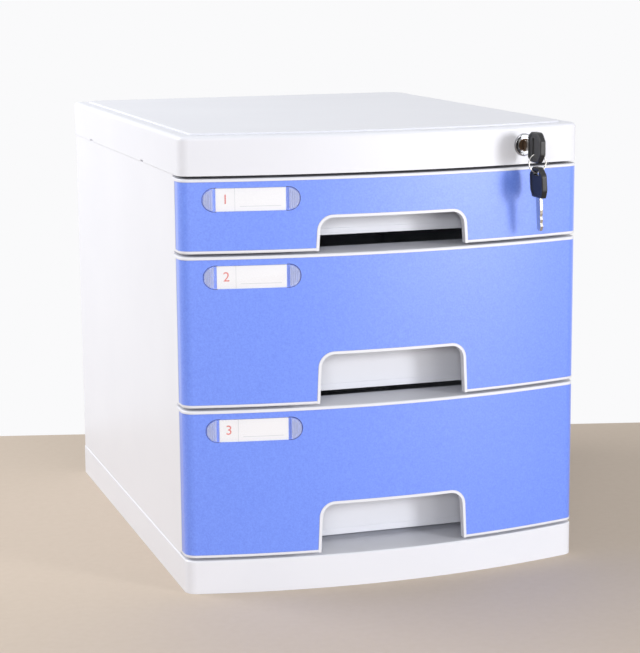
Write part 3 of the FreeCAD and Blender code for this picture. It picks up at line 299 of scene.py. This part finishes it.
def makeBlackNylon(look):
    material, tree, place = newMaterial("mouldedBlackNylon")
    grain = addNode(tree, "ShaderNodeTexNoise", {"Scale": perMetre(look["grainMm"]), "Detail": 3.0},
                    {"Vector": place})
    tone = addNode(tree, "ShaderNodeMix", {
        "data_type": "RGBA", 6: linear(look["tone"]), 7: linear(look["wornTone"])},
        {0: grain.outputs["Fac"]})
    gloss = addNode(tree, "ShaderNodeMapRange", {"To Min": look["roughLow"], "To Max": look["roughHigh"]},
                    {"Value": grain.outputs["Fac"]})
    edge = addNode(tree, "ShaderNodeBevel", {"samples": 6, "Radius": look["edgeMm"] * mm})
    bump = addNode(tree, "ShaderNodeBump", {"Strength": 0.5, "Distance": look["grainDepthMm"] * mm},
                   {"Height": grain.outputs["Fac"], "Normal": edge.outputs["Normal"]})
    shader = addNode(tree, "ShaderNodeBsdfPrincipled", {"IOR": look["ior"]}, {
        "Base Color": tone.outputs[2], "Roughness": gloss.outputs["Result"],
        "Normal": bump.outputs["Normal"]})
    showSurface(tree, shader.outputs["BSDF"])
    return material


finishes = {
    "white_plastic": makeWhiteAbs(whiteAbs),
    "blue_panel": makeBlueAbs(blueAbs),
    "clear_plastic": makeClearStyrene(clearStyrene),
    "card_paper": makeWhiteCard(whiteCard),
    **{look["slot"]: makeMetal(name, look) for name, look in metals.items()},
    "black_plastic": makeBlackNylon(blackNylon),
}
for part in frame["record"]["subparts"]:
    node = nodes[part["node"]]
    node.data.materials.clear()
    node.data.materials.append(finishes[part["material_slot"]])
print("finishes on", len(nodes), "CAD nodes")

# The bow that all fronts share: its depth, and the circle that the front shell's box gives with it.
bow = {"depth": 20 * mm}
frontLow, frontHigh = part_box("middle_front_frame")
bow["radius"] = ((frontHigh.x - frontLow.x) ** 2 / 4 + bow["depth"] ** 2) / (2 * bow["depth"])
bow["centreY"] = frontLow.y + bow["radius"]


def bowY(x, inset):
    # y of the bow at x, for a face set in by inset
    return bow["centreY"] - math.sqrt((bow["radius"] - inset) ** 2 - x ** 2)


def addPiece(name, verts, faces, finish, body):
    # a mesh that moves with one of the part's bodies
    mesh = bpy.data.meshes.new(name)
    mesh.from_pydata(verts, [], faces)
    mesh.materials.append(finish)
    piece = bpy.data.objects.new(name, mesh)
    bpy.context.scene.collection.objects.link(piece)
    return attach(piece, body)


def bowedPlate(name, columns, thickness, finish, body):
    # a thin plate on the bow; each column is (x, low z, high z, inset of its face)
    verts, faces = [], []
    for x, low, high, inset in columns:
        for depth in (inset, inset + thickness):
            verts += [(x, bowY(x, depth), low), (x, bowY(x, depth), high)]
    for i in range(len(columns) - 1):
        a, b = 4 * i, 4 * i + 4
        faces += [(a, b, b + 1, a + 1), (a + 2, a + 3, b + 3, b + 2),
                  (a, a + 2, b + 2, b), (a + 1, b + 1, b + 3, a + 3)]
    last = 4 * len(columns) - 4
    faces += [(0, 1, 3, 2), (last, last + 2, last + 3, last + 1)]
    return addPiece(name, verts, faces, finish, body)


def bowedRing(name, outer, inner, inset, thickness, finish, body):
    # a flat ring on the bow between two outlines with as many corners
    verts = [(x, bowY(x, inset + depth), z) for depth in (0, thickness) for x, z in outer + inner]
    count = len(outer)
    faces = []
    for i in range(count):
        j = (i + 1) % count
        front = [i, j, count + j, count + i]
        back = [k + 2 * count for k in reversed(front)]
        faces += [front, back, [j, i, i + 2 * count, j + 2 * count],
                  [count + i, count + j, 3 * count + j, 3 * count + i]]
    return addPiece(name, verts, faces, finish, body)


# Label holder: a blue seat behind the clear window, a matt half-moon at each end of it, ribbed to
# slide the window open, a dark ring of painted shadow in the joint round the window, and the print on
# the card. The ring is shifted so that the painted shadow is wider on the right, as cast by the edge of
# the opening in light from the right.
label = {
    "seatInset": 1.39 * mm, "seatThickness": 0.08 * mm, "seatMargin": 0.1 * mm, "seatSteps": 48,
    "leastHalf": 0.1 * mm, "lensProud": 0.5 * mm, "leftGap": 2.3 * mm, "rightGap": 1.8 * mm,
    "moonMargin": 0.45 * mm, "moonRise": 0.12 * mm, "moonEdge": 0.5 * mm, "moonEdgeShare": 0.2,
    "moonSteps": 24,
    "ribs": 4, "ribPitch": 1.5 * mm, "ribWidth": 0.8 * mm, "ribHeight": 0.3 * mm, "ribInset": 1.2 * mm,
    "ribSteps": 8,
    # the joint ring is painted shadow; its shift makes the shadow wider on the right
    "jointInset": 0.14 * mm, "jointDepth": 0.2 * mm, "jointWidth": 0.42 * mm, "jointShadowShift": 0.24 * mm,
    "jointSteps": 24,
    "inkInset": 1.05 * mm, "inkThickness": 0.02 * mm, "dividerShare": 0.27, "dividerWidth": 0.25 * mm,
    "ruleShare": 0.2, "ruleWidth": 0.3 * mm, "ruleStartShare": 0.34, "ruleEndShare": 0.93,
    "ruleSteps": 12, "numberShare": 0.135, "numberHeight": 9.5 * mm,
}
ruleInk = makeInk("greyOffsetInk", inks["rule"], inks)
numberInk = makeInk("redOffsetInk", inks["number"], inks)
frosted = makeFrostedStyrene(frostedStyrene)
# painted shade: the blue made dark for the ring of shadow in the joint
jointShadowBlue = makeBlueAbs(paintedShadowBlueAbs)


def pillHalf(x, low, high):
    # half the height of a round-ended slot at x
    radius = (high.z - low.z) / 2
    beyond = max(0.0, abs(x - (low.x + high.x) / 2) - ((high.x - low.x) / 2 - radius))
    return math.sqrt(max(radius ** 2 - beyond ** 2, label["leastHalf"] ** 2))


def pillOutline(low, high, grow, steps):
    # corners (x, z) round a slot that is larger by grow, from its right end on, anticlockwise
    radius = (high.z - low.z) / 2 + grow
    middle = (low.z + high.z) / 2
    left, right = low.x + radius - grow, high.x - radius + grow
    turns = [(right, -90 + 180 * k / steps) for k in range(steps + 1)]
    turns += [(left, 90 + 180 * k / steps) for k in range(steps + 1)]
    return [(x + radius * math.cos(math.radians(a)), middle + radius * math.sin(math.radians(a)))
            for x, a in turns]


def roundedSteps(start, end, steps):
    # places from start to end, closer together towards both, where an outline turns
    return [start + (end - start) * (1 - math.cos(math.pi * i / steps)) / 2 for i in range(steps + 1)]


def makeSeat(drawer, low, high, body):
    middle = (low.z + high.z) / 2
    columns = []
    for x in roundedSteps(low.x, high.x, label["seatSteps"]):
        half = pillHalf(x, low, high) - label["seatMargin"] / 2
        columns.append((x, middle - half, middle + half, label["seatInset"]))
    seat = bowedPlate(f"{drawer}_label_seat", columns, label["seatThickness"],
                      finishes["blue_panel"], body)


def makeMoon(drawer, side, start, end, low, high, body):
    # matt zone at one end of the window, slightly raised, with its edge rounded down
    middle = (low.z + high.z) / 2
    columns = []
    for x in roundedSteps(start, end, label["moonSteps"]):
        half = max(pillHalf(x, low, high) - label["moonMargin"], label["leastHalf"])
        share = min(x - start, end - x) / label["moonEdge"] + label["moonEdgeShare"]
        rise = label["moonRise"] * min(1.0, share)
        columns.append((x, middle - half, middle + half, -label["lensProud"] - rise))
    bowedPlate(f"{drawer}_window_moon_{side}", columns, label["moonRise"] / 2, frosted, body)


def makeJoint(drawer, low, high, body):
    # a dark ring of painted shadow round the window, shifted so that it is wider on the right
    steps = label["jointSteps"]
    outer = [(x + label["jointShadowShift"], z) for x, z in pillOutline(low, high, label["jointWidth"], steps)]
    inner = pillOutline(low, high, 0, steps)
    bowedRing(f"{drawer}_window_joint_shadow", outer, inner, label["jointInset"], label["jointDepth"],
              jointShadowBlue, body)


def makeRib(drawer, name, centre, low, high, body):
    # half-round upright bar on a half-moon; its outer side sets how tall it can be
    middle = (low.z + high.z) / 2
    outer = centre + math.copysign(label["ribWidth"] / 2, centre - (low.x + high.x) / 2)
    half = pillHalf(outer, low, high) - 2 * label["moonMargin"]
    columns = []
    for i in range(label["ribSteps"] + 1):
        across = -1 + 2 * i / label["ribSteps"]
        rise = label["moonRise"] + label["ribHeight"] * math.sqrt(1 - across ** 2)
        columns.append((centre + across * label["ribWidth"] / 2, middle - half, middle + half,
                        -label["lensProud"] - rise))
    bowedPlate(f"{drawer}_window_rib_{name}", columns, label["ribHeight"], frosted, body)


def makeRules(drawer, low, high, body):
    # the upright divider and the writing line, placed by shares of the card
    width, height = high.x - low.x, high.z - low.z
    inset, thickness = label["inkInset"], label["inkThickness"]
    divider, half = low.x + label["dividerShare"] * width, label["dividerWidth"] / 2
    columns = [(x, low.z, high.z, inset) for x in (divider - half, divider + half)]
    bowedPlate(f"{drawer}_card_divider", columns, thickness, ruleInk, body)
    line, half = low.z + label["ruleShare"] * height, label["ruleWidth"] / 2
    start, end = (low.x + label[share] * width for share in ("ruleStartShare", "ruleEndShare"))
    steps = label["ruleSteps"]
    columns = [(start + (end - start) * i / steps, line - half, line + half, inset)
               for i in range(steps + 1)]
    bowedPlate(f"{drawer}_card_rule", columns, thickness, ruleInk, body)


def makeNumber(drawer, number, low, high, body):
    # a plain numeral as a thin mesh, bent to the bow
    text = bpy.data.curves.new(f"{drawer}_card_number", "FONT")
    text.body = str(number)
    text.align_x, text.align_y = "CENTER", "CENTER"
    text.size = label["numberHeight"]
    text.extrude = label["inkThickness"] / 2
    drawn = bpy.data.objects.new("numberOutline", text)
    bpy.context.scene.collection.objects.link(drawn)
    bpy.context.view_layer.update()
    mesh = bpy.data.meshes.new_from_object(drawn.evaluated_get(bpy.context.evaluated_depsgraph_get()))
    bpy.data.objects.remove(drawn)
    x, z = low.x + label["numberShare"] * (high.x - low.x), (low.z + high.z) / 2
    for vertex in mesh.vertices:
        across, up, out = vertex.co
        vertex.co = (x + across, bowY(x + across, label["inkInset"] + out), z + up)
    mesh.materials.clear()
    mesh.materials.append(numberInk)
    piece = bpy.data.objects.new(f"{drawer}_card_number", mesh)
    bpy.context.scene.collection.objects.link(piece)
    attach(piece, body)


def makeLabelHolder(drawer, number):
    body = f"{drawer}_drawer"
    low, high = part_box(f"{drawer}_label_window")
    cardLow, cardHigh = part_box(f"{drawer}_label_card")
    leftEnd, rightStart = cardLow.x - label["leftGap"], cardHigh.x + label["rightGap"]
    makeSeat(drawer, low, high, body)
    makeMoon(drawer, "left", low.x + label["moonMargin"], leftEnd, low, high, body)
    makeMoon(drawer, "right", rightStart, high.x - label["moonMargin"], low, high, body)
    makeJoint(drawer, low, high, body)
    for k in range(label["ribs"]):
        away = label["ribInset"] + k * label["ribPitch"]
        makeRib(drawer, f"left_{k + 1}", leftEnd - away, low, high, body)
        makeRib(drawer, f"right_{k + 1}", rightStart + away, low, high, body)
    makeRules(drawer, cardLow, cardHigh, body)
    makeNumber(drawer, number, cardLow, cardHigh, body)


for number, drawer in enumerate(drawers, start=1):
    makeLabelHolder(drawer, number)
print("label holders made")

# Camera as the photograph was taken: place, direction and focal length worked out from the cabinet's
# own edges. Angles in degrees; lens and sensor in millimetres, the sensor along the picture's long side.
camera = {
    "place": (-0.4736, -1.4833, 0.4426), "yaw": 17.965, "pitch": 10.4987, "roll": -0.4551,
    "lens": 108.65, "sensor": 36, "clipStart": 0.05, "clipEnd": 50,
}


def makeCamera(look):
    yaw, pitch, roll = (math.radians(look[k]) for k in ("yaw", "pitch", "roll"))
    forward = Vector((math.sin(yaw) * math.cos(pitch), math.cos(yaw) * math.cos(pitch), -math.sin(pitch)))
    level = Vector((math.cos(yaw), -math.sin(yaw), 0))
    upright = level.cross(forward)
    right = math.cos(roll) * level + math.sin(roll) * upright
    up = -math.sin(roll) * level + math.cos(roll) * upright
    data = bpy.data.cameras.new("photoCamera")
    data.lens, data.sensor_width = look["lens"], look["sensor"]
    data.clip_start, data.clip_end = look["clipStart"], look["clipEnd"]
    lens = bpy.data.objects.new("photoCamera", data)
    turn = Matrix((right, up, -forward)).transposed()
    lens.matrix_world = Matrix.Translation(look["place"]) @ turn.to_4x4()
    bpy.context.scene.collection.objects.link(lens)
    bpy.context.scene.camera = lens


makeCamera(camera)

# Soft studio light at a plain level: softboxes by azimuth (0 is in front, + to the right), elevation
# in degrees, distance, width and height in metres, power in watts.
softboxes = {
    "keyRight": {
        "azimuth": 34, "elevation": 12, "distance": 2.0, "width": 0.34, "height": 0.34, "power": 13},
    "lowRight": {
        "azimuth": 26, "elevation": 2.4, "distance": 2.6, "width": 1.6, "height": 0.3, "power": 10.5},
    "frontFill": {
        "azimuth": -22, "elevation": 14, "distance": 3.2, "width": 0.9, "height": 0.4, "power": 21},
    "windowLeft": {
        "azimuth": -112, "elevation": 32, "distance": 1.4, "width": 1.0, "height": 0.6, "power": 12.5},
    "overhead": {
        "azimuth": -60, "elevation": 70, "distance": 2.2, "width": 1.2, "height": 0.8, "power": 4},
}
lightTarget = Vector((0, 0, 0.16))


def makeSoftbox(name, look):
    azimuth, elevation = math.radians(look["azimuth"]), math.radians(look["elevation"])
    aim = Vector((math.sin(azimuth) * math.cos(elevation), -math.cos(azimuth) * math.cos(elevation),
                  math.sin(elevation)))
    data = bpy.data.lights.new(name, "AREA")
    data.shape, data.size, data.size_y = "RECTANGLE", look["width"], look["height"]
    data.energy = look["power"]
    lamp = bpy.data.objects.new(name, data)
    lamp.location = lightTarget + aim * look["distance"]
    lamp.rotation_euler = aim.to_track_quat("Z", "Y").to_euler()
    bpy.context.scene.collection.objects.link(lamp)


for name, look in softboxes.items():
    makeSoftbox(name, look)

# The room lights the object softly; the camera, metal and glass see it as pale white.
room = {"light": "#FFFFFF", "lightStrength": 0.48, "seen": "#FAFAFB", "seenStrength": 1.0}


def makeRoom(look):
    world = bpy.data.worlds.new("studioRoom")
    world.use_nodes = True
    tree = world.node_tree
    tree.nodes.clear()
    lit = addNode(tree, "ShaderNodeBackground", {
        "Color": linear(look["light"]), "Strength": look["lightStrength"]})
    seen = addNode(tree, "ShaderNodeBackground", {
        "Color": linear(look["seen"]), "Strength": look["seenStrength"]})
    path = addNode(tree, "ShaderNodeLightPath", {})
    glossy = addNode(tree, "ShaderNodeMath", {"operation": "MAXIMUM"},
                     {0: path.outputs["Is Camera Ray"], 1: path.outputs["Is Glossy Ray"]})
    direct = addNode(tree, "ShaderNodeMath", {"operation": "MAXIMUM"},
                     {0: glossy.outputs["Value"], 1: path.outputs["Is Transmission Ray"]})
    mix = addNode(tree, "ShaderNodeMixShader", {}, {
        0: direct.outputs["Value"], 1: lit.outputs["Background"], 2: seen.outputs["Background"]})
    addNode(tree, "ShaderNodeOutputWorld", {}, {"Surface": mix.outputs["Shader"]})
    bpy.context.scene.world = world


makeRoom(room)

# Plain pale table top in matt laminate with faint flecks. Like the table in the photograph, it ends a
# little way behind the cabinet and lies square to the camera.
studioFloor = {
    "turn": -14.7, "far": 0.288, "near": -1.6, "halfWidth": 1.5,
    "tone": "#C8BAAB", "fleckTone": "#C2B3A3", "fleckMm": 6, "roughness": 0.7,
}


def makeFloor(look):
    material, tree, place = newMaterial("paleMattLaminate")
    fleck = addNode(tree, "ShaderNodeTexNoise", {"Scale": perMetre(look["fleckMm"]), "Detail": 4.0},
                    {"Vector": place})
    tone = addNode(tree, "ShaderNodeMix", {
        "data_type": "RGBA", 6: linear(look["tone"]), 7: linear(look["fleckTone"])},
        {0: fleck.outputs["Fac"]})
    shader = addNode(tree, "ShaderNodeBsdfPrincipled", {"Roughness": look["roughness"]},
                     {"Base Color": tone.outputs[2]})
    showSurface(tree, shader.outputs["BSDF"])
    turn = Matrix.Rotation(math.radians(look["turn"]), 3, "Z")
    corners = [turn @ Vector((x * look["halfWidth"], y, 0))
               for x, y in ((-1, look["near"]), (1, look["near"]), (1, look["far"]), (-1, look["far"]))]
    mesh = bpy.data.meshes.new("studioFloor")
    mesh.from_pydata(corners, [], [(0, 1, 2, 3)])
    mesh.materials.append(material)
    floor = bpy.data.objects.new("studioFloor", mesh)
    bpy.context.scene.collection.objects.link(floor)


makeFloor(studioFloor)
bpy.context.scene.view_settings.view_transform = "Standard"
print("camera, light and floor made")
